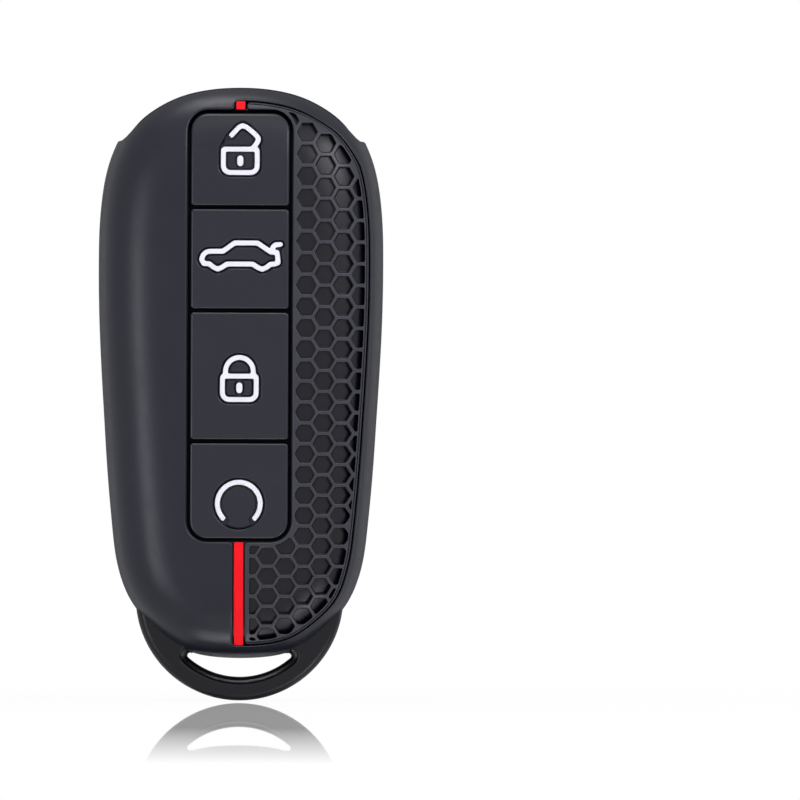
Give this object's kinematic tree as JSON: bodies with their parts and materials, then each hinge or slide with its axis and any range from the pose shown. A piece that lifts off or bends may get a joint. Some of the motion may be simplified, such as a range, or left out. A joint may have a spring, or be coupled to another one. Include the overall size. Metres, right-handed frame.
{
  "type": "key fob cover",
  "caption": "Soft sleeve that a car key slides into from the top, with sprung button pads, raised symbols, a honeycomb grip panel and a red line on each face, and a lanyard loop.",
  "frame": {"origin": "middle of the cover's lowest point, under the lanyard loop", "axes": "+X to the right across the front face, +Y from the front face to the back face, +Z from the loop up to the mouth"},
  "size_m": [0.0466, 0.0192, 0.1],
  "materials": {
    "sleeve": "satin silicone",
    "pad": "satin silicone",
    "grip": "satin silicone",
    "web": "matte silicone",
    "loop": "satin silicone",
    "line": "satin silicone",
    "symbol": "satin silicone"
  },
  "bodies": {
    "cover": {"front_shell": "sleeve", "back_shell": "sleeve", "lanyard_loop": "loop", "front_grip_panel": "grip", "back_grip_panel": "grip", "front_upper_line": "line", "front_lower_line": "line", "back_line": "line", "button_web": "web"},
    "unlock_button": {"button_unlock": "pad", "unlock_symbol": "symbol", "unlock_keyhole": "symbol"},
    "trunk_button": {"button_trunk": "pad", "trunk_symbol": "symbol"},
    "lock_button": {"button_lock": "pad", "lock_symbol": "symbol", "lock_keyhole": "symbol"},
    "start_button": {"button_start": "pad", "start_symbol": "symbol"}
  },
  "joints": [
    {"name": "unlock_press", "type": "slide", "parent": "cover", "child": "unlock_button", "axis": [0, 1, 0], "range_m": [0, 0.0008], "stiffness_N_per_m": 400},
    {"name": "trunk_press", "type": "slide", "parent": "cover", "child": "trunk_button", "axis": [0, 1, 0], "range_m": [0, 0.0008], "stiffness_N_per_m": 400},
    {"name": "lock_press", "type": "slide", "parent": "cover", "child": "lock_button", "axis": [0, 1, 0], "range_m": [0, 0.0008], "stiffness_N_per_m": 400},
    {"name": "start_press", "type": "slide", "parent": "cover", "child": "start_button", "axis": [0, 1, 0], "range_m": [0, 0.0008], "stiffness_N_per_m": 400}
  ]
}
